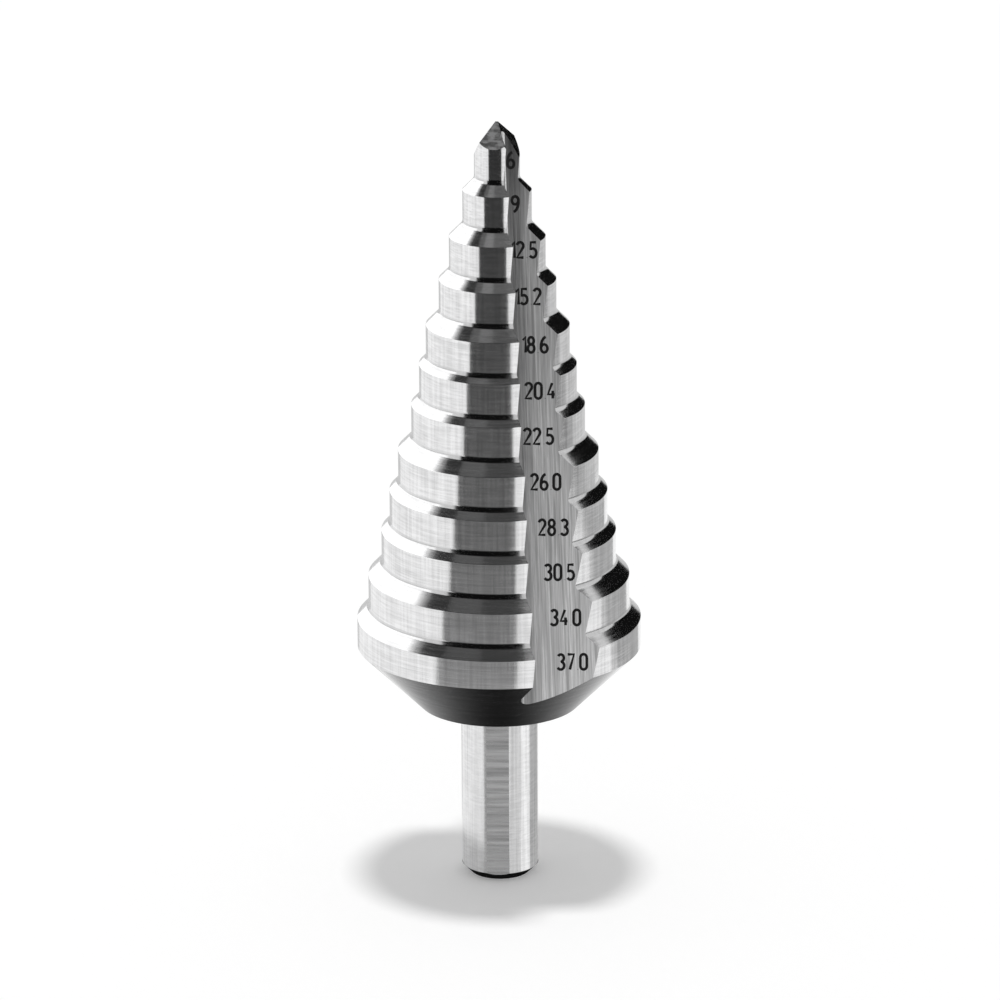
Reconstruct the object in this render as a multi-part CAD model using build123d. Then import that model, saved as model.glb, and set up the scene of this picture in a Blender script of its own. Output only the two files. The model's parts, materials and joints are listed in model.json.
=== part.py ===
from build123d import *
from math import cos, radians, tan
import os

# A step drill with twelve diameters, two straight flutes and a three-flat shank,
# ground from one bar of tool steel. Millimetres and degrees.
#
# Z runs up the axis, from the end of the shank to the point. Directions round the
# axis are turned anticlockwise from +X, seen from above the point. The drill cuts
# in that sense too, so the land at the front (-Y) leads with its right-hand edge.
# All that is described here for the front land is repeated on the one behind.

# Shank
shank_diameter = 10
shank_length = 23.7  # from its end to the underside of the body
shank_chamfer = 1.2
flat_count = 3
flat_depth = 0.22
flat_turn = -93.3  # where the front flat faces

# Body: the back cone and the steps
hub_diameter = 21  # the flat underside of the body
back_slope = 45  # from the axis
step_diameters = [37, 34, 30.5, 28.3, 26, 22.5, 20.4, 18.6, 15.2, 12.5, 9, 6]
widest_land = 3.7
middle_land = 4.3
pilot_land = 4.8  # up to the outer ends of the lips
step_slope = 45  # from the axis
corner_radius = 1  # where a land meets the cone below the next one

# Relief: each land is turned about an axis that lies off the drill's own
land_relief = 0.06
relief_turn = -30  # the way the front land's axis is moved
edge_turn = -75.5  # the front cutting edge, where a land has its full diameter
seam_turn = -55  # inside the front flute, where the two lands' turnings meet

# Flutes: a V with a round root, cut deeper towards the point
wall_gap = 0.5  # between the two flutes' flat walls, at the outer ends of the lips
root_offset = 0.4  # from the axis to the left, at the outer ends of the lips
wall_slope = 11.5  # how fast the root comes in to the axis
root_drift = 1.75  # how far the root leans to the left as it comes in
flute_angle = 57  # between the wall and the cutting face
root_radius = 1.2

# Point: four flats that meet over the axis, two of them behind the lips
point_height = 2.5  # from the outer ends of the lips to the tip
flank_tilt = 45  # from level
flank_turn = -100
heel_tilt = 59
heel_turn = 163
heel_offset = 0.15  # keeps the heel flats off the tip, which leaves a chisel edge

step_count = len(step_diameters)
widest = step_diameters[0]
pilot = step_diameters[-1]
land_lengths = [widest_land] + [middle_land] * (step_count - 2) + [pilot_land]
body_foot = shank_length + (widest - hub_diameter) / 2 / tan(radians(back_slope))
cones_height = (widest - pilot) / 2 / tan(radians(step_slope))
shoulder = body_foot + sum(land_lengths) + cones_height
tip = shoulder + point_height
reach = tip + widest  # past the whole drill, for the blocks that cut it


def turned_radius(diameter):
    """What a land is turned to, so that it is full size at its cutting edge."""
    return diameter / 2 - land_relief * cos(radians(edge_turn - relief_turn))


def stepped_section():
    """Half of the body's section: a straight line for each land, then its cone."""
    corners = [(0, shank_length), (turned_radius(widest), shank_length)]
    rounding = [0]
    foot = body_foot
    for wide, narrow, length in zip(step_diameters, step_diameters[1:], land_lengths):
        rim = foot + length
        foot = rim + (wide - narrow) / 2 / tan(radians(step_slope))
        corners += [(turned_radius(wide), rim), (turned_radius(narrow), foot)]
        rounding += [0, corner_radius]
    corners += [(turned_radius(pilot), reach), (0, reach)]
    rounding += [0]
    outline = FilletPolyline(*corners, radius=rounding) + Line(corners[-1], corners[0])
    return Plane.XZ * make_face(outline)


def half_space():
    """All that lies behind the seam, on the side of the front land."""
    block = Box(reach, 2 * reach, reach, align=(Align.MIN, Align.CENTER, Align.MIN))
    return Rot(Z=seam_turn - 90) * block


def relieved_lands():
    """The stepped body, each half of it turned about its own axis."""
    off_centre = Rot(Z=relief_turn) * Pos(X=land_relief)
    front = off_centre * revolve(stepped_section(), Axis.Z) & half_space()
    return front + Rot(Z=180) * front


def back_cone():
    """All the space above the back cone, which is turned on the drill's own axis."""
    hub_radius = hub_diameter / 2
    top = shank_length + (reach - hub_radius) / tan(radians(back_slope))
    corners = [(0, shank_length), (hub_radius, shank_length), (reach, top), (0, top)]
    return revolve(Plane.XZ * make_face(Polyline(*corners, close=True)), Axis.Z)


def shank():
    """A round shank with a chamfered end and flats for the jaws of a chuck."""
    radius = shank_diameter / 2
    bar = Cylinder(radius, shank_length, align=(Align.CENTER, Align.CENTER, Align.MIN))
    bar = chamfer(bar.edges().group_by(Axis.Z)[0], shank_chamfer)
    block = Box(radius, shank_diameter, shank_length, align=(Align.MIN, Align.CENTER, Align.MIN))
    for index in range(flat_count):
        turn = flat_turn + index * 360 / flat_count
        bar -= Rot(Z=turn) * Pos(X=radius - flat_depth) * block
    return bar


def front_flute():
    """The groove to the right of the front land: its wall runs along +X."""
    wall = (reach, 0)
    face = Vector(reach, 0).rotate(Axis.Z, -flute_angle)
    section = make_face(Polyline((0, 0), wall, (reach, face.Y), (face.X, face.Y), close=True))
    section = fillet(section.vertices().sort_by_distance((0, 0, 0))[0], root_radius)
    root = Pos(-root_offset, -wall_gap / 2, shoulder) * Rot(Y=-root_drift) * Rot(X=-wall_slope)
    return root * extrude(section, reach, both=True)


def point_flat(tilt, turn, offset=0):
    """The space outside one flat of the point, which faces up and to its turn."""
    block = Box(reach, reach, reach, align=(Align.CENTER, Align.CENTER, Align.MIN))
    return Pos(Z=tip) * Rot(Z=turn) * Rot(Y=tilt) * Pos(Z=offset) * block


def step_drill():
    """The whole drill."""
    body = relieved_lands() & back_cone()
    front_cuts = [
        front_flute(),
        point_flat(flank_tilt, flank_turn),
        point_flat(heel_tilt, heel_turn, heel_offset),
    ]
    for cut in front_cuts:
        body -= cut
        body -= Rot(Z=180) * cut
    return body + shank()


os.makedirs("parts", exist_ok=True)
export_step(step_drill(), "parts/step_drill.step")
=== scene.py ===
import json
from math import atan2, cos, degrees, pi, radians, sin, tan

import bmesh
import bpy
import numpy as np
from mathutils import Matrix, Vector

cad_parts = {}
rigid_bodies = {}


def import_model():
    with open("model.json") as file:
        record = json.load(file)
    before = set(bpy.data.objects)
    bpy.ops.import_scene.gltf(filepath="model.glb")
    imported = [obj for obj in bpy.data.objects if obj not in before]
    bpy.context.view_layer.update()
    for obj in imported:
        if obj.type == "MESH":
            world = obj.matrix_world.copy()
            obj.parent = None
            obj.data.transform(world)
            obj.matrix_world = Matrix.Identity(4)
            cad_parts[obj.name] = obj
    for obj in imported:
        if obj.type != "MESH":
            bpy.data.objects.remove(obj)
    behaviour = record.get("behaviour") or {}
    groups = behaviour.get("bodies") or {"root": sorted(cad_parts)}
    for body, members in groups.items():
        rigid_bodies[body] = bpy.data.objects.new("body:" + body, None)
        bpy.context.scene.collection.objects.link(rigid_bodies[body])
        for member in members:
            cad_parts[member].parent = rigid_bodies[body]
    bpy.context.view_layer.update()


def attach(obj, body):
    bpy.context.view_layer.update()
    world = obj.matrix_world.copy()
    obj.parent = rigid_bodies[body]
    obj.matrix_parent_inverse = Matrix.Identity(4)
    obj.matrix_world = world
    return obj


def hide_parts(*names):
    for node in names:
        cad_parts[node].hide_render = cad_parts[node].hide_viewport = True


# A ground steel step drill, standing on the end of its shank. The drill is built again
# here from its own sizes as one fine mesh, so that its ground bands, rounded corners
# and cut edges shade truly. Sizes are in millimetres until a mesh is finished.

MM = 0.001

# Shank
SHANK_DIAMETER = 10
SHANK_LENGTH = 23.7
SHANK_CHAMFER = 1.2
FLAT_COUNT = 3
FLAT_DEPTH = 0.22
FLAT_TURN = -93.3

# Body
HUB_DIAMETER = 21
BACK_SLOPE = 45
STEP_DIAMETERS = [37, 34, 30.5, 28.3, 26, 22.5, 20.4, 18.6, 15.2, 12.5, 9, 6]
WIDEST_LAND = 3.7
MIDDLE_LAND = 4.3
PILOT_LAND = 4.8
STEP_SLOPE = 45
CORNER_RADIUS = 1
RIM_RADIUS = 0.06

# Relief
LAND_RELIEF = 0.06
RELIEF_TURN = -30
EDGE_TURN = -75.5
SEAM_TURN = -55

# Flutes
WALL_GAP = 0.5
ROOT_OFFSET = 0.4
WALL_SLOPE = 11.5
ROOT_DRIFT = 1.75
FLUTE_ANGLE = 57
ROOT_RADIUS = 1.2

# Point
POINT_HEIGHT = 2.5
FLANK_TILT = 45
FLANK_TURN = -100
HEEL_TILT = 59
HEEL_TURN = 163
HEEL_OFFSET = 0.15

# How far the shank reaches up into the body
SHANK_OVERLAP = 2

# How finely the round surfaces are divided, and the gap left beside the relief's seam
BODY_SIDES = 360
SEAM_MARGIN = 3
SHANK_SIDES = 180
ROOT_STRIPS = 24
CORNER_STRIPS = 6
RIM_STRIPS = 3

# So many strips of a flute's round root, next to its wall, have the wall's finish
ROOT_SIDE_STRIPS = 8

# The grinding lines of a flute lean by this much to the left for each millimetre up. Its
# wall gets painted shade: darker between two pairs of heights and, across the lines, beside the root.
LINE_LEAN = 0.030
PAINTED_SHADE_HEIGHTS = (35.0, 97.0)
PAINTED_SHADE_TOP = (91.0, 99.0)
PAINTED_SHADE_BY_ROOT = (4.4, 6.4)

# The camera's tilt and roll in degrees and its place in metres, and how far it looks
# down at the drill's middle
CAMERA_TILT = 17.775
CAMERA_ROLL = -0.277
CAMERA_PLACE = (0.00019, -0.680, 0.269)
VIEW_RISE = 17.85

# The curved cards: their distance and the height of their middle in metres, their
# division, and the strength of the black ones
BLACK_DISTANCE = 1.2
MIRROR_DISTANCE = 1.15
CARD_MIDDLE = 0.06
CARD_ROWS = 12
BLACK_COLUMNS = 24
MIRROR_COLUMNS = 16
BLACK = 0.006

# What follows from these sizes: the lands' lengths, heights up the axis, and a reach that
# is longer than the drill, for the tools that cut it
LANDS = [WIDEST_LAND] + [MIDDLE_LAND] * (len(STEP_DIAMETERS) - 2) + [PILOT_LAND]
BODY_FOOT = SHANK_LENGTH + (STEP_DIAMETERS[0] - HUB_DIAMETER) / 2 / tan(radians(BACK_SLOPE))
CONES = (STEP_DIAMETERS[0] - STEP_DIAMETERS[-1]) / 2 / tan(radians(STEP_SLOPE))
SHOULDER = BODY_FOOT + sum(LANDS) + CONES
TIP = SHOULDER + POINT_HEIGHT
REACH = TIP + STEP_DIAMETERS[0]

# The kinds of surface, in the order of their stand-in materials while the drill is cut
KINDS = [
    "land", "cone", "corner", "rim", "back", "underside", "shank", "chamfer",
    "shank_flat", "end", "wall", "root_side", "root", "face", "flank", "heel",
]
KIND = {name: index for index, name in enumerate(KINDS)}

ROOT_PLACE = (
    Matrix.Translation((-ROOT_OFFSET, -WALL_GAP / 2, SHOULDER))
    @ Matrix.Rotation(radians(-ROOT_DRIFT), 4, "Y")
    @ Matrix.Rotation(radians(-WALL_SLOPE), 4, "X")
)
HALF_TURN = Matrix.Rotation(pi, 4, "Z")


def clear_scene():
    for thing in list(bpy.data.objects):
        bpy.data.objects.remove(thing)


def add_object(name, data):
    thing = bpy.data.objects.new(name, data)
    bpy.context.scene.collection.objects.link(thing)
    return thing


def turned_radius(diameter):
    """The radius about a half's own axis that gives a land its diameter at the cutting edge."""
    return diameter / 2 - LAND_RELIEF * cos(radians(EDGE_TURN - RELIEF_TURN))


def relief_centre(front):
    """The axis about which the front or the rear half is turned."""
    side = 1 if front else -1
    off = radians(RELIEF_TURN)
    return np.array([side * LAND_RELIEF * cos(off), side * LAND_RELIEF * sin(off)])


def mesh_object(name, points, faces, kinds, materials):
    mesh = bpy.data.meshes.new(name)
    mesh.from_pydata([tuple(p) for p in points], [], faces)
    for material in materials:
        mesh.materials.append(material)
    mesh.polygons.foreach_set("material_index", np.array(kinds, np.int32))
    mesh.update()
    return add_object(name, mesh)


def step_corners():
    """For each step its turned radius, the height of its rim and that of the next foot."""
    corners = []
    foot = BODY_FOOT
    for index, land in enumerate(LANDS):
        radius = turned_radius(STEP_DIAMETERS[index])
        rim = foot + land
        if index + 1 < len(LANDS):
            drop = (STEP_DIAMETERS[index] - STEP_DIAMETERS[index + 1]) / 2
            foot = rim + drop / tan(radians(STEP_SLOPE))
            inner = turned_radius(STEP_DIAMETERS[index + 1])
            corners.append((radius, rim, inner, foot))
    return corners


STEPS = step_corners()


def corner_tangent(radius):
    """How far a rounded corner between a land and a cone reaches along the land."""
    return radius * tan(radians(STEP_SLOPE) / 2)


def body_rows():
    """The rows of the turned body, upwards: radius, height, and the kind of face below."""
    rows = []
    slope = radians(STEP_SLOPE)
    for radius, rim, inner, foot in STEPS:
        centre = (radius - RIM_RADIUS, rim - corner_tangent(RIM_RADIUS))
        for step in range(RIM_STRIPS + 1):
            angle = slope * step / RIM_STRIPS
            r = centre[0] + RIM_RADIUS * cos(angle)
            z = centre[1] + RIM_RADIUS * sin(angle)
            rows.append((r, z, "rim" if step else "land"))
        centre = (inner + CORNER_RADIUS, foot + corner_tangent(CORNER_RADIUS))
        for step in range(CORNER_STRIPS + 1):
            angle = pi + slope * (1 - step / CORNER_STRIPS)
            r = centre[0] + CORNER_RADIUS * cos(angle)
            z = centre[1] + CORNER_RADIUS * sin(angle)
            rows.append((r, z, "corner" if step else "cone"))
    rows.append((turned_radius(STEP_DIAMETERS[-1]), TIP + 1, "land"))
    return rows


def half_turns():
    """The directions and the centre of each half, kept clear of the seam between them."""
    count = BODY_SIDES // 2
    for front in (True, False):
        start = SEAM_TURN - 180 if front else SEAM_TURN
        turns = np.radians(np.linspace(start + SEAM_MARGIN, start + 180 - SEAM_MARGIN, count))
        ways = np.stack([np.cos(turns), np.sin(turns)], axis=1)
        yield ways, np.tile(relief_centre(front), (count, 1))


def turned_solid(name, rings, kinds, materials):
    """A closed solid from rings of points, upwards; kinds has its caps first and last."""
    count = len(rings[0])
    faces = [list(range(count))[::-1]]
    marks = [KIND[kinds[0]]]
    for row in range(len(rings) - 1):
        low = row * count
        for side in range(count):
            after = (side + 1) % count
            faces.append([low + side, low + after, low + count + after, low + count + side])
            marks.append(KIND[kinds[row + 1]])
    top = (len(rings) - 1) * count
    faces.append([top + side for side in range(count)])
    marks.append(KIND[kinds[-1]])
    return mesh_object(name, np.concatenate(rings), faces, marks, materials)


def turned_body(materials):
    halves = list(half_turns())
    ways = np.concatenate([h[0] for h in halves])
    centres = np.concatenate([h[1] for h in halves])
    count = len(ways)
    widest = centres + ways * turned_radius(STEP_DIAMETERS[0])
    reach = np.linalg.norm(widest, axis=1)
    hub = HUB_DIAMETER / 2
    edge = SHANK_LENGTH + (reach - hub) / tan(radians(BACK_SLOPE))
    foot = widest / reach[:, None] * hub
    rings = [np.column_stack([foot, np.full(count, float(SHANK_LENGTH))])]
    rings.append(np.column_stack([widest, edge]))
    kinds = ["underside", "back"]
    for radius, height, kind in body_rows():
        ring = centres + ways * radius
        rings.append(np.column_stack([ring, np.full(count, height)]))
        kinds.append(kind)
    return turned_solid("turned_body", rings, kinds + ["land"], materials)


def block(name, low, high, place, kind, materials):
    """A box between two corners, all of one kind, set in its place."""
    corners = [
        (x, y, z)
        for x in (low[0], high[0]) for y in (low[1], high[1]) for z in (low[2], high[2])
    ]
    points = [place @ Vector(c) for c in corners]
    faces = [(0, 1, 3, 2), (4, 6, 7, 5), (0, 4, 5, 1), (2, 3, 7, 6), (0, 2, 6, 4), (1, 5, 7, 3)]
    return mesh_object(name, points, faces, [KIND[kind]] * 6, materials)


def apply_boolean(body, tools, operation):
    """Cuts the tools from the body or joins them to it, and removes them."""
    group = bpy.data.collections.new("tools")
    bpy.context.scene.collection.children.link(group)
    for tool in tools:
        group.objects.link(tool)
    change = body.modifiers.new("cut", "BOOLEAN")
    change.operand_type = "COLLECTION"
    change.collection = group
    change.operation = operation
    change.solver = "EXACT"
    change.material_mode = "INDEX"
    graph = bpy.context.evaluated_depsgraph_get()
    made = bpy.data.meshes.new_from_object(body.evaluated_get(graph), depsgraph=graph)
    body.modifiers.clear()
    old = body.data
    body.data = made
    bpy.data.meshes.remove(old)
    for tool in tools:
        mesh = tool.data
        bpy.data.objects.remove(tool)
        bpy.data.meshes.remove(mesh)
    bpy.data.collections.remove(group)


def make_shank(materials):
    radius = SHANK_DIAMETER / 2
    rows = [
        (radius - SHANK_CHAMFER, 0),
        (radius, SHANK_CHAMFER),
        (radius, SHANK_LENGTH + SHANK_OVERLAP),
    ]
    turns = np.arange(SHANK_SIDES) * 2 * pi / SHANK_SIDES
    ways = np.stack([np.cos(turns), np.sin(turns)], axis=1)
    rings = [np.column_stack([ways * r, np.full(SHANK_SIDES, float(z))]) for r, z in rows]
    shank = turned_solid("shank", rings, ["end", "chamfer", "shank", "shank"], materials)
    tools = []
    for index in range(FLAT_COUNT):
        turn = Matrix.Rotation(radians(FLAT_TURN + index * 360 / FLAT_COUNT), 4, "Z")
        low = (radius - FLAT_DEPTH, -SHANK_DIAMETER, -5)
        high = (SHANK_DIAMETER, SHANK_DIAMETER, SHANK_LENGTH)
        tools.append(block("flat_tool", low, high, turn, "shank_flat", materials))
    apply_boolean(shank, tools, "DIFFERENCE")
    return shank


def root_centre():
    """The middle of the flute's round root, from the corner of its V."""
    half = radians(FLUTE_ANGLE) / 2
    return ROOT_RADIUS / tan(half), -ROOT_RADIUS


def flute_tool(place, materials):
    """A long V with a round edge, which cuts one flute."""
    angle = radians(FLUTE_ANGLE)
    centre = root_centre()
    ring = [(REACH, 0)]
    kinds = ["wall"]
    for step in range(ROOT_STRIPS + 1):
        turn = pi / 2 + (pi - angle) * step / ROOT_STRIPS
        ring.append((centre[0] + ROOT_RADIUS * cos(turn), centre[1] + ROOT_RADIUS * sin(turn)))
        if step < ROOT_SIDE_STRIPS:
            kinds.append("root_side")
        else:
            kinds.append("root" if step < ROOT_STRIPS else "face")
    ring += [(REACH * cos(angle), -REACH * sin(angle)), (REACH, -REACH * sin(angle))]
    kinds += ["wall", "wall"]
    count = len(ring)
    points = [place @ Vector((x, y, -REACH)) for x, y in ring]
    points += [place @ Vector((x, y, REACH)) for x, y in ring]
    faces = [list(range(count))[::-1], [count + index for index in range(count)]]
    marks = [KIND["wall"]] * 2
    for index in range(count):
        after = (index + 1) % count
        faces.append([index, after, count + after, count + index])
        marks.append(KIND[kinds[index]])
    return mesh_object("flute_tool", points, faces, marks, materials)


def point_tool(tilt, turn, offset, half, kind, materials):
    """A block whose lower face cuts one flat of the point."""
    place = (
        half
        @ Matrix.Translation((0, 0, TIP))
        @ Matrix.Rotation(radians(turn), 4, "Z")
        @ Matrix.Rotation(radians(tilt), 4, "Y")
        @ Matrix.Translation((0, 0, offset))
    )
    low = (-REACH / 2, -REACH / 2, 0)
    high = (REACH / 2, REACH / 2, REACH)
    return block("point_tool", low, high, place, kind, materials)


def cut_drill(materials):
    body = turned_body(materials)
    tools = []
    for half in (Matrix.Identity(4), HALF_TURN):
        tools.append(flute_tool(half @ ROOT_PLACE, materials))
        tools.append(point_tool(FLANK_TILT, FLANK_TURN, 0, half, "flank", materials))
        tools.append(point_tool(HEEL_TILT, HEEL_TURN, HEEL_OFFSET, half, "heel", materials))
    apply_boolean(body, tools, "DIFFERENCE")
    apply_boolean(body, [make_shank(materials)], "UNION")
    return body


def turned_normal(point, middle, kind):
    """The normal of a turned surface at a point; middle tells which half it is on."""
    slope = radians(STEP_SLOPE)
    own_axis = kind in ("back", "shank", "chamfer")
    way = atan2(middle.y, middle.x)
    ahead = (degrees(way) - SEAM_TURN) % 360 > 180
    centre = np.zeros(2) if own_axis else relief_centre(ahead)
    out = np.array([point.x, point.y]) - centre
    radius = np.linalg.norm(out)
    out = out / radius
    across, up = 1.0, 0.0
    if kind == "cone":
        across, up = cos(slope), sin(slope)
    if kind == "back":
        across, up = cos(radians(BACK_SLOPE)), -sin(radians(BACK_SLOPE))
    if kind == "chamfer":
        across, up = cos(pi / 4), -sin(pi / 4)
    if kind in ("rim", "corner"):
        level = 1 if kind == "rim" else 3
        wide, rim, inner, foot = min(STEPS, key=lambda step: abs(step[level] - point.z))
        if kind == "rim":
            across = radius - (wide - RIM_RADIUS)
            up = point.z - (rim - corner_tangent(RIM_RADIUS))
        else:
            across = inner + CORNER_RADIUS - radius
            up = foot + corner_tangent(CORNER_RADIUS) - point.z
    return Vector((out[0] * across, out[1] * across, up)).normalized()


def root_normal(point, middle):
    """The normal of a flute's round root at a point; middle tells which flute it is in."""
    half = Matrix.Identity(4) if middle.y < middle.x * 0.5 and middle.y < 0 else HALF_TURN
    place = half @ ROOT_PLACE
    local = place.inverted() @ point
    centre = root_centre()
    inward = Vector((centre[0] - local.x, centre[1] - local.y, 0)).normalized()
    return (place.to_3x3() @ inward).normalized()


def set_true_normals(thing):
    """Gives each corner of each face the normal of the true surface, so that it shades as round."""
    mesh = thing.data
    normals = [None] * len(mesh.loops)
    turned = {KIND[k] for k in ("land", "cone", "corner", "rim", "back", "shank", "chamfer")}
    for polygon in mesh.polygons:
        kind = polygon.material_index
        middle = polygon.center
        for loop in polygon.loop_indices:
            if kind in turned:
                point = mesh.vertices[mesh.loops[loop].vertex_index].co
                normals[loop] = turned_normal(point, middle, KINDS[kind])
            elif kind in (KIND["root"], KIND["root_side"]):
                point = mesh.vertices[mesh.loops[loop].vertex_index].co
                normals[loop] = root_normal(point, middle)
            else:
                normals[loop] = polygon.normal
    mesh.polygons.foreach_set("use_smooth", np.ones(len(mesh.polygons), bool))
    mesh.normals_split_custom_set([tuple(n) for n in normals])


class Nodes:
    """Short ways to add nodes to one material or world."""

    def __init__(self, tree):
        self.tree = tree
        tree.nodes.clear()

    def add(self, kind, **inputs):
        node = self.tree.nodes.new(kind)
        for name, value in inputs.items():
            node.inputs[name.replace("_", " ")].default_value = value
        return node

    def link(self, source, target):
        self.tree.links.new(source, target)

    def feed(self, node, *values):
        """Gives a node its inputs in order, each a number or another node's output."""
        for target, value in zip(node.inputs, values):
            if isinstance(value, (int, float)):
                target.default_value = value
            else:
                self.link(value, target)
        return node.outputs[0]

    def output(self, shader, kind="ShaderNodeOutputMaterial"):
        self.link(shader.outputs[0], self.add(kind).inputs[0])

    def math(self, operation, *values):
        node = self.tree.nodes.new("ShaderNodeMath")
        node.operation = operation
        return self.feed(node, *values)

    def combine(self, x, y, z):
        return self.feed(self.tree.nodes.new("ShaderNodeCombineXYZ"), x, y, z)

    def separate(self, vector):
        """The x, y and z of a vector."""
        node = self.tree.nodes.new("ShaderNodeSeparateXYZ")
        self.link(vector, node.inputs[0])
        return list(node.outputs)

    def length(self, x, y):
        """The length of a vector that has only an x and a y."""
        squares = self.math("ADD", self.math("MULTIPLY", x, x), self.math("MULTIPLY", y, y))
        return self.math("SQRT", squares)

    def stretched(self, place, factors):
        """A place with its parts times their factors; a part that is a number stays as it is."""
        parts = []
        for part, factor in zip(place, factors):
            fixed = isinstance(part, (int, float))
            parts.append(part if fixed else self.math("MULTIPLY", part, factor))
        return self.combine(*parts)

    def blend(self, first, second, share):
        """Two tones in one, with a share of the second."""
        most = self.math("MULTIPLY", first, 1.0 - share)
        return self.math("ADD", most, self.math("MULTIPLY", second, share))

    def noise(self, vector, scale=1.0, detail=3.0, rough=0.6):
        node = self.tree.nodes.new("ShaderNodeTexNoise")
        node.inputs["Scale"].default_value = scale
        node.inputs["Detail"].default_value = detail
        node.inputs["Roughness"].default_value = rough
        self.link(vector, node.inputs["Vector"])
        return node.outputs["Fac"]

    def spread(self, value, low, high, from_low=0.3, from_high=0.7):
        node = self.tree.nodes.new("ShaderNodeMapRange")
        node.inputs["From Min"].default_value = from_low
        node.inputs["From Max"].default_value = from_high
        node.inputs["To Min"].default_value = low
        node.inputs["To Max"].default_value = high
        self.link(value, node.inputs["Value"])
        return node.outputs["Result"]


def place_in_mm(nodes):
    """The surface's own place on the drill: x, y and z in millimetres."""
    where = nodes.add("ShaderNodeTexCoord").outputs["Object"]
    return [nodes.math("MULTIPLY", part, 1000.0) for part in nodes.separate(where)]


def way_round(nodes, x, y):
    """The direction from the axis, as two numbers that have no seam."""
    across = nodes.math("MAXIMUM", nodes.length(x, y), 0.001)
    return nodes.math("DIVIDE", x, across), nodes.math("DIVIDE", y, across)


def finish_steel(nodes, tone, base, rough, height, bump, aniso=0.0, metal=1.0, shade=None):
    """Joins a grey tone, a roughness and a height to one metal shader; a painted shade darkens it all.
    """
    steel = nodes.add("ShaderNodeBsdfPrincipled", Metallic=metal)
    if aniso:
        steel.inputs["Anisotropic"].default_value = aniso
        steel.inputs["Anisotropic Rotation"].default_value = 0.25
        tangent = nodes.add("ShaderNodeTangent")
        tangent.direction_type = "RADIAL"
        tangent.axis = "Z"
        nodes.link(tangent.outputs[0], steel.inputs["Tangent"])
    dark, bright = base
    ramp = nodes.add("ShaderNodeValToRGB")
    ramp.color_ramp.elements[0].position = 0.25
    ramp.color_ramp.elements[1].position = 0.75
    ramp.color_ramp.elements[0].color = (dark, dark, dark * 1.005, 1)
    ramp.color_ramp.elements[1].color = (bright, bright, bright * 1.005, 1)
    nodes.link(tone, ramp.inputs[0])
    colour = ramp.outputs[0]
    if shade is not None:
        darker = nodes.add("ShaderNodeVectorMath")
        darker.operation = "SCALE"
        nodes.link(colour, darker.inputs[0])
        nodes.link(shade, darker.inputs["Scale"])
        colour = darker.outputs[0]
    nodes.link(colour, steel.inputs["Base Color"])
    nodes.link(rough, steel.inputs["Roughness"])
    lift = nodes.add("ShaderNodeBump", Strength=1.0, Distance=bump * MM)
    nodes.link(height, lift.inputs["Height"])
    nodes.link(lift.outputs[0], steel.inputs["Normal"])
    nodes.output(steel)


def new_material(name):
    material = bpy.data.materials.new(name)
    material.use_nodes = True
    return material, Nodes(material.node_tree)


def turned_steel(name, base, rough, bump, aniso, streaks, pitch=3.6, stretch=1.9):
    """Steel ground round the axis: fine lines all the way round, crossed by faint upright ones."""
    material, nodes = new_material(name)
    x, y, z = place_in_mm(nodes)
    c, s = way_round(nodes, x, y)
    rings = nodes.noise(nodes.stretched((c, s, z), (2.5, 2.5, pitch)), rough=0.7)
    upright = nodes.noise(nodes.stretched((x, y, z), (stretch, stretch, 0.06)))
    cloud = nodes.noise(nodes.combine(x, y, z), scale=0.35, detail=2.0)
    rings = nodes.spread(rings, 0.0, 1.0, 0.33, 0.67)
    upright = nodes.spread(upright, 0.0, 1.0, 0.35, 0.65)
    tone = nodes.blend(rings, upright, streaks)
    mixed = nodes.blend(tone, cloud, 0.3)
    worn = nodes.spread(mixed, rough * 0.85, rough * 1.2)
    finish_steel(nodes, mixed, base, worn, tone, bump, aniso)
    return material


def flute_steel(name, base, rough, bump, metal, painted_shade_depth=0.0):
    """Steel ground along the flute: coarse, uneven lines that follow its root.

    The last number paints shade on the wall: darker towards the point and beside the root.
    """
    material, nodes = new_material(name)
    x, y, z = place_in_mm(nodes)
    along = nodes.math("ADD", x, nodes.math("MULTIPLY", z, LINE_LEAN))
    fine = nodes.noise(nodes.stretched((along, y, z), (4.4, 0.1, 0.09)), rough=0.7)
    wide = nodes.noise(nodes.stretched((along, 4.0, z), (0.9, 1.0, 0.03)), detail=2.0)
    cuts = nodes.noise(nodes.stretched((along, 9.0, z), (1.7, 1.0, 0.05)), detail=1.0)
    cuts = nodes.spread(cuts, 0.0, 0.28, 0.36, 0.31)
    fine = nodes.spread(fine, 0.0, 1.0, 0.31, 0.69)
    tone = nodes.math("SUBTRACT", nodes.blend(fine, wide, 0.45), cuts)
    shade = None
    # Painted shade: the wall's colour grows darker towards the point and beside the root
    if painted_shade_depth:
        shade_level = 1.0 - painted_shade_depth
        shade = nodes.spread(z, 1.0, shade_level, *PAINTED_SHADE_HEIGHTS)
        shade = nodes.math("MULTIPLY", shade, nodes.spread(z, 1.0, shade_level, *PAINTED_SHADE_TOP))
        shade = nodes.math("MULTIPLY", shade, nodes.spread(along, shade_level, 1.0, *PAINTED_SHADE_BY_ROOT))
    worn = nodes.spread(tone, rough * 0.85, rough * 1.2)
    finish_steel(nodes, tone, base, worn, fine, bump, metal=metal, shade=shade)
    return material


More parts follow.
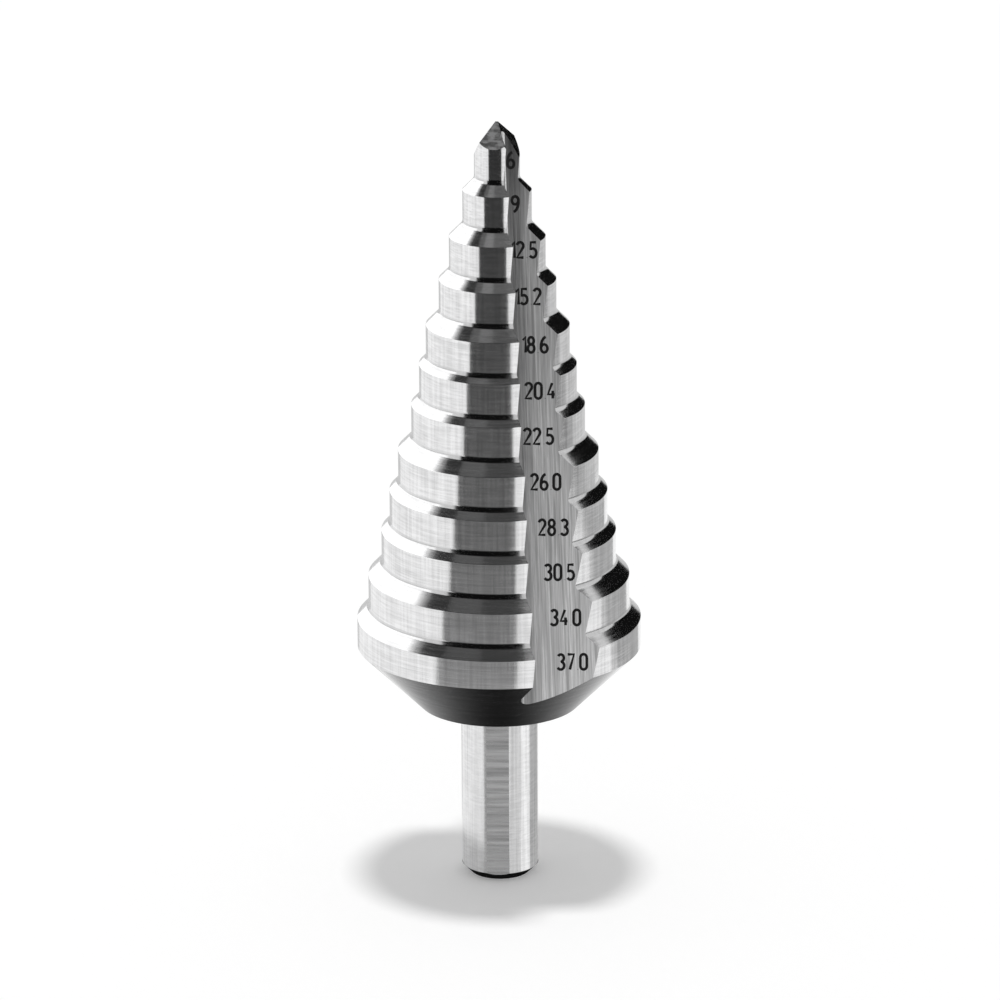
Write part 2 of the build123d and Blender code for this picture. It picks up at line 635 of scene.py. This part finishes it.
def cross_steel(name, base, rough, bump):
    """Steel ground across the shank's flats: short level marks, some of them deeper."""
    material, nodes = new_material(name)
    x, y, z = place_in_mm(nodes)
    fine = nodes.noise(nodes.stretched((x, y, z), (0.07, 0.07, 2.2)), rough=0.7)
    deep = nodes.noise(nodes.stretched((x, y, z), (0.05, 0.05, 1.1)), detail=1.0)
    fine = nodes.spread(fine, 0.0, 1.0, 0.33, 0.67)
    tone = nodes.blend(fine, deep, 0.5)
    worn = nodes.spread(tone, rough * 0.8, rough * 1.2)
    finish_steel(nodes, tone, base, worn, tone, bump)
    return material


def point_steel(name, base, rough, bump):
    """The flats of the point: fine marks left by the edge of a wheel."""
    material, nodes = new_material(name)
    x, y, z = place_in_mm(nodes)
    fine = nodes.noise(nodes.stretched((x, y, z), (0.7, 0.7, 4.5)), rough=0.7)
    cloud = nodes.noise(nodes.combine(x, y, z), scale=1.3, detail=2.0)
    fine = nodes.spread(fine, 0.0, 1.0, 0.33, 0.67)
    cloud = nodes.spread(cloud, 0.0, 1.0, 0.35, 0.65)
    tone = nodes.blend(fine, cloud, 0.45)
    worn = nodes.spread(tone, rough * 0.85, rough * 1.2)
    finish_steel(nodes, tone, base, worn, fine, bump)
    return material


def dark_marking():
    """The burnt, slightly uneven grey of the numbers."""
    material, nodes = new_material("number_marking")
    x, y, z = place_in_mm(nodes)
    cloud = nodes.noise(nodes.combine(x, y, z), scale=6.0)
    shade = nodes.add("ShaderNodeBsdfPrincipled", Roughness=0.62, Specular_IOR_Level=0.3)
    ramp = nodes.add("ShaderNodeValToRGB")
    ramp.color_ramp.elements[0].color = (0.003, 0.003, 0.003, 1)
    ramp.color_ramp.elements[1].color = (0.014, 0.014, 0.014, 1)
    nodes.link(cloud, ramp.inputs[0])
    nodes.link(ramp.outputs[0], shade.inputs["Base Color"])
    nodes.output(shade)
    return material


def drill_materials():
    """The materials of the drill, in the order of their kinds; some kinds share one."""
    lands = turned_steel("ground_lands", (0.63, 0.88), 0.14, 0.0011, 0.55, 0.45)
    cones = turned_steel("ground_cones", (0.64, 0.82), 0.14, 0.0008, 0.3, 0.2, pitch=4.5)
    corners = turned_steel("ground_corners", (0.60, 0.74), 0.13, 0.0006, 0.2, 0.3)
    back = turned_steel("turned_back", (0.60, 0.72), 0.17, 0.0008, 0.5, 0.15, pitch=3.0)
    shank = turned_steel("ground_shank", (0.64, 0.83), 0.16, 0.0008, 0.4, 0.55, stretch=2.4)
    flats = cross_steel("shank_flats", (0.54, 0.88), 0.28, 0.0020)
    # The flute walls' last number is painted shade, darker towards the point and beside the root
    flute = flute_steel("ground_flutes_painted_shade", (0.49, 0.92), 0.24, 0.0018, 0.15, 0.55)
    root = flute_steel("ground_roots", (0.62, 0.90), 0.20, 0.0016, 1.0)
    flank = point_steel("ground_flanks", (0.38, 0.76), 0.52, 0.0016)
    heel = point_steel("ground_heels", (0.46, 0.60), 0.20, 0.0012)
    use = {
        "land": lands, "cone": cones, "corner": corners, "rim": cones, "back": back,
        "underside": back, "shank": shank, "chamfer": shank, "shank_flat": flats, "end": shank,
        "wall": flute, "root_side": flute, "root": root, "face": root, "flank": flank, "heel": heel,
    }
    return [use[kind] for kind in KINDS]


def dress(thing):
    """Puts the real materials in the stand-ins' place, one slot for each."""
    wanted = drill_materials()
    marks = np.zeros(len(thing.data.polygons), np.int32)
    thing.data.polygons.foreach_get("material_index", marks)
    slots = list(dict.fromkeys(wanted))
    table = np.array([slots.index(material) for material in wanted], np.int32)
    old = list(thing.data.materials)
    thing.data.materials.clear()
    for material in slots:
        thing.data.materials.append(material)
    thing.data.polygons.foreach_set("material_index", table[marks])
    for material in set(old):
        bpy.data.materials.remove(material)
    thing.data.update()


def build_drill():
    stand_ins = [bpy.data.materials.new("kind_" + kind) for kind in KINDS]
    drill = cut_drill(stand_ins)
    drill.name = drill.data.name = "ground_step_drill"
    set_true_normals(drill)
    dress(drill)
    drill.data.transform(Matrix.Scale(MM, 4))
    drill.data.update()
    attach(drill, "root")
    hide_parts("step_drill")
    return drill


def arc(x, y, wide, high, start, end, steps=10):
    """Points on an ellipse round x, y from one angle to another, in degrees."""
    turns = [radians(start + (end - start) * i / steps) for i in range(steps + 1)]
    return [(x + wide * cos(t), y + high * sin(t)) for t in turns]


def digit_strokes(digit):
    """The strokes of a narrow figure, one unit high and about half a unit wide."""
    if digit == "0":
        top, foot = arc(0.22, 0.76, 0.2, 0.22, 0, 180), arc(0.22, 0.24, 0.2, 0.22, 180, 360)
        return [top + foot + [(0.42, 0.76)]]
    if digit == "1":
        return [[(0.1, 0.78), (0.26, 0.98), (0.26, 0.02)]]
    if digit == "2":
        return [arc(0.22, 0.75, 0.2, 0.23, 165, -30) + [(0.03, 0.03), (0.43, 0.03)]]
    if digit == "3":
        return [arc(0.2, 0.75, 0.19, 0.22, 150, -75) + arc(0.19, 0.27, 0.22, 0.25, 75, -150)]
    if digit == "4":
        return [[(0.28, 0.98), (0.02, 0.28), (0.44, 0.28)], [(0.32, 0.5), (0.32, 0.02)]]
    if digit == "5":
        return [[(0.4, 0.97), (0.08, 0.97), (0.06, 0.56)] + arc(0.2, 0.31, 0.22, 0.28, 115, -145)]
    if digit == "6":
        return [arc(0.36, 0.36, 0.33, 0.62, 95, 180, 8)[:-1] + arc(0.23, 0.27, 0.2, 0.25, 180, 540, 18)]
    if digit == "7":
        return [[(0.03, 0.97), (0.42, 0.97), (0.16, 0.02)]]
    if digit == "8":
        return [arc(0.22, 0.75, 0.17, 0.22, -90, 270, 16) + arc(0.22, 0.27, 0.2, 0.25, 90, -270, 16)]
    return [arc(0.08, 0.64, 0.33, 0.62, -85, 0, 8)[:-1] + arc(0.21, 0.73, 0.2, 0.25, 0, 360, 18)]


# Each number, the x of its first figure's left side and the height of its middle
NUMBERS = [
    ("6", 1.28, 96.35), ("9", 1.86, 90.9), ("12.5", 1.66, 85.2), ("15.2", 2.14, 79.4),
    ("18.6", 3.0, 73.4), ("20.4", 3.44, 67.65), ("22.5", 3.24, 61.95), ("26.0", 4.12, 56.25),
    ("28.3", 5.08, 50.55), ("30.5", 5.84, 44.9), ("34.0", 6.6, 39.2), ("37.0", 7.45, 33.6),
]
# The figures' height, the steps from one sign to the next, and half the stroke's width.
# The decimal point's strokes are thinner, and all strokes are pressed nearly flat.
FIGURE_HEIGHT = 2.05
FIGURE_STEP = 1.22
ONE_STEP = 0.78
POINT_STEP = 0.42
STROKE = 0.18
POINT_THINNING = 0.45
STROKE_FLATNESS = 0.08


def number_curve(text, left, middle):
    """One number as flattened strokes, sunk by half into the wall."""
    curve = bpy.data.curves.new("number_" + text.replace(".", "_"), "CURVE")
    curve.dimensions = "3D"
    curve.bevel_depth = STROKE
    curve.bevel_resolution = 2
    curve.use_fill_caps = True
    along = 0.0
    for sign in text:
        if sign == ".":
            strokes = [[(along + 0.12, 0.03), (along + 0.12, 0.08)]]
            along += POINT_STEP
        else:
            strokes = [
                [(along + x * FIGURE_HEIGHT, y * FIGURE_HEIGHT) for x, y in stroke]
                for stroke in digit_strokes(sign)
            ]
            along += ONE_STEP if sign == "1" else FIGURE_STEP
        for stroke in strokes:
            line = curve.splines.new("POLY")
            line.points.add(len(stroke) - 1)
            for index, (x, y) in enumerate(stroke):
                line.points[index].co = (x, y - FIGURE_HEIGHT / 2, 0, 1)
                line.points[index].radius = POINT_THINNING if sign == "." else 1.0
    pressed = Matrix.Diagonal((1, 1, STROKE_FLATNESS, 1))
    return add_object(curve.name, curve), wall_frame(left, middle) @ pressed


def wall_frame(x, z):
    """A place on the front flute's wall, with its first axis level and its third outwards."""
    out = ROOT_PLACE.to_3x3() @ Vector((0, -1, 0))
    right = (Vector((1, 0, 0)) - out * out.x).normalized()
    start = ROOT_PLACE.translation
    depth = start.y - (out.x * (x - start.x) + out.z * (z - start.z)) / out.y
    place = Matrix((right, out.cross(right), out)).transposed().to_4x4()
    place.translation = (x, depth, z)
    return place


def lift_onto_root(mesh):
    """Moves what lies over the flute's round root out from the wall onto it."""
    centre = root_centre()
    back = ROOT_PLACE.inverted()
    for vertex in mesh.vertices:
        local = back @ vertex.co
        over = centre[0] - local.x
        if over > 0:
            # A mark can't follow the root further than this, where it turns too steep
            over = min(over, ROOT_RADIUS * 0.95)
            local.y -= ROOT_RADIUS - (ROOT_RADIUS ** 2 - over ** 2) ** 0.5
            vertex.co = ROOT_PLACE @ local


def build_numbers():
    """All the step numbers, as one marking on the front flute's wall."""
    graph = bpy.context.evaluated_depsgraph_get()
    whole = bmesh.new()
    for text, left, middle in NUMBERS:
        thing, place = number_curve(text, left, middle)
        graph.update()
        mesh = bpy.data.meshes.new_from_object(thing.evaluated_get(graph), depsgraph=graph)
        mesh.transform(place)
        lift_onto_root(mesh)
        mesh.transform(Matrix.Scale(MM, 4))
        whole.from_mesh(mesh)
        curve = thing.data
        bpy.data.objects.remove(thing)
        bpy.data.curves.remove(curve)
        bpy.data.meshes.remove(mesh)
    mesh = bpy.data.meshes.new("size_numbers")
    whole.to_mesh(mesh)
    whole.free()
    mesh.materials.clear()
    mesh.materials.append(dark_marking())
    mesh.polygons.foreach_set("use_smooth", np.ones(len(mesh.polygons), bool))
    mesh.polygons.foreach_set("material_index", np.zeros(len(mesh.polygons), np.int32))
    numbers = add_object("size_numbers", mesh)
    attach(numbers, "root")
    return numbers


def emission(name, strength):
    """A plain light-giving surface; its strength is a number, or nodes make it from its place."""
    material, nodes = new_material(name)
    glow = nodes.add("ShaderNodeEmission")
    if callable(strength):
        nodes.link(strength(nodes), glow.inputs["Strength"])
    else:
        glow.inputs["Strength"].default_value = strength
    nodes.output(glow)
    material.cycles.emission_sampling = "NONE"
    return material


def studio_card(name, points, faces, material):
    """A card that is seen only as a reflection in the steel."""
    mesh = bpy.data.meshes.new(name)
    mesh.from_pydata(points, [], faces)
    mesh.materials.append(material)
    card = add_object(name, mesh)
    card.visible_camera = False
    card.visible_diffuse = False
    card.visible_shadow = False
    card.visible_transmission = False
    card.visible_volume_scatter = False
    return card


def between(ends, index, count):
    """The value a number of equal steps on from the first end."""
    return ends[0] + (ends[1] - ends[0]) * index / count


def curved_card(name, corner, columns, material):
    """A card of many small faces; corner gives the place of a point from its column and row."""
    points = [corner(column, row) for row in range(CARD_ROWS + 1) for column in range(columns + 1)]
    faces = []
    for row in range(CARD_ROWS):
        for column in range(columns):
            first = row * (columns + 1) + column
            faces.append((first, first + 1, first + columns + 2, first + columns + 1))
    return studio_card(name, points, faces, material)


def round_card(name, turns, rises, material):
    """Part of a sphere round the drill, between two directions and two elevations.

    A direction of 0 is the camera's side, and 90 is to its right.
    """
    def corner(column, row):
        way = radians(between(turns, column, BLACK_COLUMNS))
        up = radians(between(rises, row, CARD_ROWS))
        out = BLACK_DISTANCE * cos(up)
        return out * sin(way), -out * cos(way), CARD_MIDDLE + BLACK_DISTANCE * sin(up)

    return curved_card(name, corner, BLACK_COLUMNS, material)


def mirrored(turn, tilt):
    """The direction that the camera sees in steel facing a turn from its side and a tilt up."""
    turn, tilt, rise = radians(turn), radians(tilt), radians(VIEW_RISE)
    facing = Vector((cos(tilt) * sin(turn), -cos(tilt) * cos(turn), sin(tilt)))
    view = Vector((0, -cos(rise), sin(rise)))
    return 2 * facing.dot(view) * facing - view


def mirror_card(name, turns, tilts, strength):
    """A card that shows in the steel facing two turns and all between, and two tilts."""
    def corner(column, row):
        turn = between(turns, column, MIRROR_COLUMNS)
        tilt = between(tilts, row, CARD_ROWS)
        return Vector((0, 0, CARD_MIDDLE)) + MIRROR_DISTANCE * mirrored(turn, tilt)

    return curved_card(name, corner, MIRROR_COLUMNS, emission(name, strength))


def level_card(name, height, corners, material):
    """A flat level card; its height and its corners are in millimetres."""
    points = [(x * MM, y * MM, height * MM) for x, y in corners]
    return studio_card(name, points, [tuple(range(len(points)))], material)


def arc_of(radius, start, end, steps=12):
    """Corners on a circle round the axis; 0 is the camera's side, and 90 is to its right."""
    turns = [radians(start + (end - start) * step / steps) for step in range(steps + 1)]
    return [(radius * sin(turn), -radius * cos(turn)) for turn in turns]


def place_in_metres(nodes):
    """The x, y and z of a card's own place in the studio."""
    return nodes.separate(nodes.add("ShaderNodeNewGeometry").outputs["Position"])


def front_fading(nodes):
    """A strength that falls with the distance from the drill's axis, to little half a metre off."""
    x, y, _ = place_in_metres(nodes)
    away = nodes.length(x, y)
    falling = nodes.math("POWER", nodes.math("DIVIDE", 0.112, away), 1.5)
    strength = nodes.math("MINIMUM", nodes.math("MULTIPLY", falling, 0.30), 0.41)
    return nodes.math("MULTIPLY", strength, nodes.spread(away, 1.0, 0.05, 0.39, 0.5))


def sideways_glow(nodes):
    """A strength that is least at the front of the drill and grows towards its sides."""
    x, y, _ = place_in_metres(nodes)
    aside = nodes.math("ABSOLUTE", x)
    ahead = nodes.math("MULTIPLY", y, -1.0)
    turn = nodes.math("DEGREES", nodes.math("ARCTAN2", aside, ahead))
    growth = nodes.math("POWER", nodes.math("DIVIDE", turn, 96.0), 2.2)
    return nodes.math("MULTIPLY_ADD", growth, 0.7, 0.015)


def make_cards():
    """The cards that the steel mirrors: round the drill, over its point and on the floor."""
    black = emission("black", BLACK)
    round_card("right_black_card", (116, 168), (-3, 42), black)
    # The inside corners mirror the cards for low tilts, and the cones those for high ones
    mirror_card("front_black_card", (-25.5, 10.5), (5, 43), BLACK)
    mirror_card("left_corner_card", (-35, -25.5), (5, 37), 0.85)
    mirror_card("left_side_card", (-90, -35), (20, 37), 1.5)
    mirror_card("front_top_card", (-8, 45), (43, 66), 0.08)
    mirror_card("front_glow_card", (-23.5, -8), (43, 66), 0.14)
    mirror_card("left_gap_card", (-25.5, -23.5), (43, 66), 0.045)
    mirror_card("left_dark_card", (-34.5, -25.5), (37, 66), 0.045)
    mirror_card("left_grey_card", (-37.5, -34.5), (37, 66), 0.33)
    mirror_card("left_pale_card", (-40, -37.5), (37, 66), 0.8)
    mirror_card("left_white_card", (-90, -40), (37, 66), 1.5)

    # Two small cards close over the point, which only the top three cones mirror
    soft = emission("soft_overhead", 0.27)
    level_card("soft_left_card", 160, [(-25, -14), (-8, -19), (-10, -33), (-33.5, -26.5)], soft)
    faint = emission("faint_overhead", 0.16)
    level_card("soft_right_card", 160, [
        (-8, -19), (16, -17.5), (31.5, -11.5), (39, -23), (19.5, -30.5), (-10, -33),
    ], faint)

    # The floor as the steel sees it, in front and behind
    front_floor = emission("front_floor", front_fading)
    level_card("front_floor_card", 0.04, [
        (-2.2, -4.5), (4, -5), (12, -80), (27, -115), (97, -274), (514, -1225),
        (-1149, -1230), (-205, -206), (-87, -78),
    ], front_floor)
    pale = emission("pale_grey_floor", 0.66)
    middle = emission("middle_grey_floor", 0.47)
    dark = emission("dark_grey_floor", 0.34)
    level_card("left_back_card", 0.02, arc_of(20, -180, -150) + arc_of(1400, -150, -180), pale)
    level_card("near_side_card", 0.02, arc_of(90, 96, 103) + arc_of(175, 103, 96), pale)
    level_card("near_back_card", 0.02, arc_of(90, 103, 146) + arc_of(175, 146, 103), middle)
    level_card("far_side_card", 0.02, arc_of(175, 56, 102) + arc_of(1400, 102, 56), dark)
    level_card("far_turn_card", 0.02, arc_of(175, 102, 116) + arc_of(1400, 116, 102), middle)
    level_card("far_back_card", 0.02, arc_of(175, 116, 180) + arc_of(1400, 180, 116), pale)

    # Strips of light to the right of the shank, and what the foot and the back cone mirror
    shank_front = emission("shank_front", 0.76)
    shank_side = emission("shank_side", 1.1)
    shank_back = emission("shank_back", 0.52)
    level_card("shank_front_card", 0.06, [
        (1.2, -4.85), (41, -80), (80, -39), (2.7, -4.2),
    ], shank_front)
    level_card("shank_side_card", 0.06, [
        (2.7, -4.2), (80, -39), (87, 14.6), (3.9, -3.1),
    ], shank_side)
    level_card("shank_back_card", 0.06, [
        (3.9, -3.1), (87, 14.6), (70, 60), (34, 79), (4.92, -0.87),
    ], shank_back)
    # The black foot card is painted shade: it stands for the shadowed floor round the foot, as the
    # steel mirrors it
    level_card("foot_shade_card", 0.08, arc_of(6.5, 0, 354, 59), black)
    under_cone = emission("under_cone", sideways_glow)
    ring = arc_of(22, -118, 118) + arc_of(9, 118, -118)
    level_card("cone_card", SHANK_LENGTH - 1.7, ring, under_cone)


def seen_as_white(nodes):
    """One for what the camera sees, also in metal and through glass, and nothing for the rest."""
    path = nodes.add("ShaderNodeLightPath")
    seen = nodes.math("MAXIMUM", path.outputs["Is Camera Ray"], path.outputs["Is Glossy Ray"])
    return nodes.math("MAXIMUM", seen, path.outputs["Is Transmission Ray"])


def make_floor():
    """A pale floor that glows a little for the camera, and keeps the drill's shadow."""
    material, nodes = new_material("pale_floor")
    paint = nodes.add("ShaderNodeBsdfDiffuse", Color=(0.93, 0.93, 0.93, 1))
    glow = nodes.add("ShaderNodeEmission")
    nodes.link(nodes.math("MULTIPLY", seen_as_white(nodes), 0.15), glow.inputs["Strength"])
    both = nodes.add("ShaderNodeAddShader")
    nodes.link(paint.outputs[0], both.inputs[0])
    nodes.link(glow.outputs[0], both.inputs[1])
    nodes.output(both)
    material.cycles.emission_sampling = "NONE"
    mesh = bpy.data.meshes.new("floor")
    mesh.from_pydata([(-4, -4, 0), (4, -4, 0), (4, 4, 0), (-4, 4, 0)], [], [(0, 1, 2, 3)])
    mesh.materials.append(material)
    floor = add_object("floor", mesh)


def make_world():
    """White for the camera and in the steel, and a weaker even light on everything."""
    world = bpy.data.worlds.new("studio")
    bpy.context.scene.world = world
    world.use_nodes = True
    nodes = Nodes(world.node_tree)
    strength = nodes.math("MULTIPLY_ADD", seen_as_white(nodes), 0.38, 0.62)
    back = nodes.add("ShaderNodeBackground")
    nodes.link(strength, back.inputs["Strength"])
    nodes.output(back, "ShaderNodeOutputWorld")
    world.cycles.sampling_method = "NONE"


def make_lamp():
    """An even soft light from straight overhead, for the floor's shadow."""
    lamp = bpy.data.lights.new("overhead", "SUN")
    lamp.energy = 1.35
    lamp.angle = radians(10)
    holder = add_object("overhead", lamp)
    holder.location = (0.0, 0.0, 0.95)
    holder.visible_glossy = False


def make_camera():
    camera = bpy.data.cameras.new("camera")
    camera.lens = 199.26
    camera.sensor_width = 36
    camera.clip_start = 0.05
    camera.clip_end = 20
    holder = add_object("camera", camera)
    tilt = Matrix.Rotation(radians(90 - CAMERA_TILT), 4, "X")
    roll = Matrix.Rotation(radians(CAMERA_ROLL), 4, "Z")
    holder.matrix_world = Matrix.Translation(CAMERA_PLACE) @ tilt @ roll
    bpy.context.scene.camera = holder


clear_scene()
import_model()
make_camera()
build_drill()
build_numbers()
make_floor()
make_world()
make_lamp()
make_cards()
bpy.context.scene.view_settings.view_transform = "Standard"
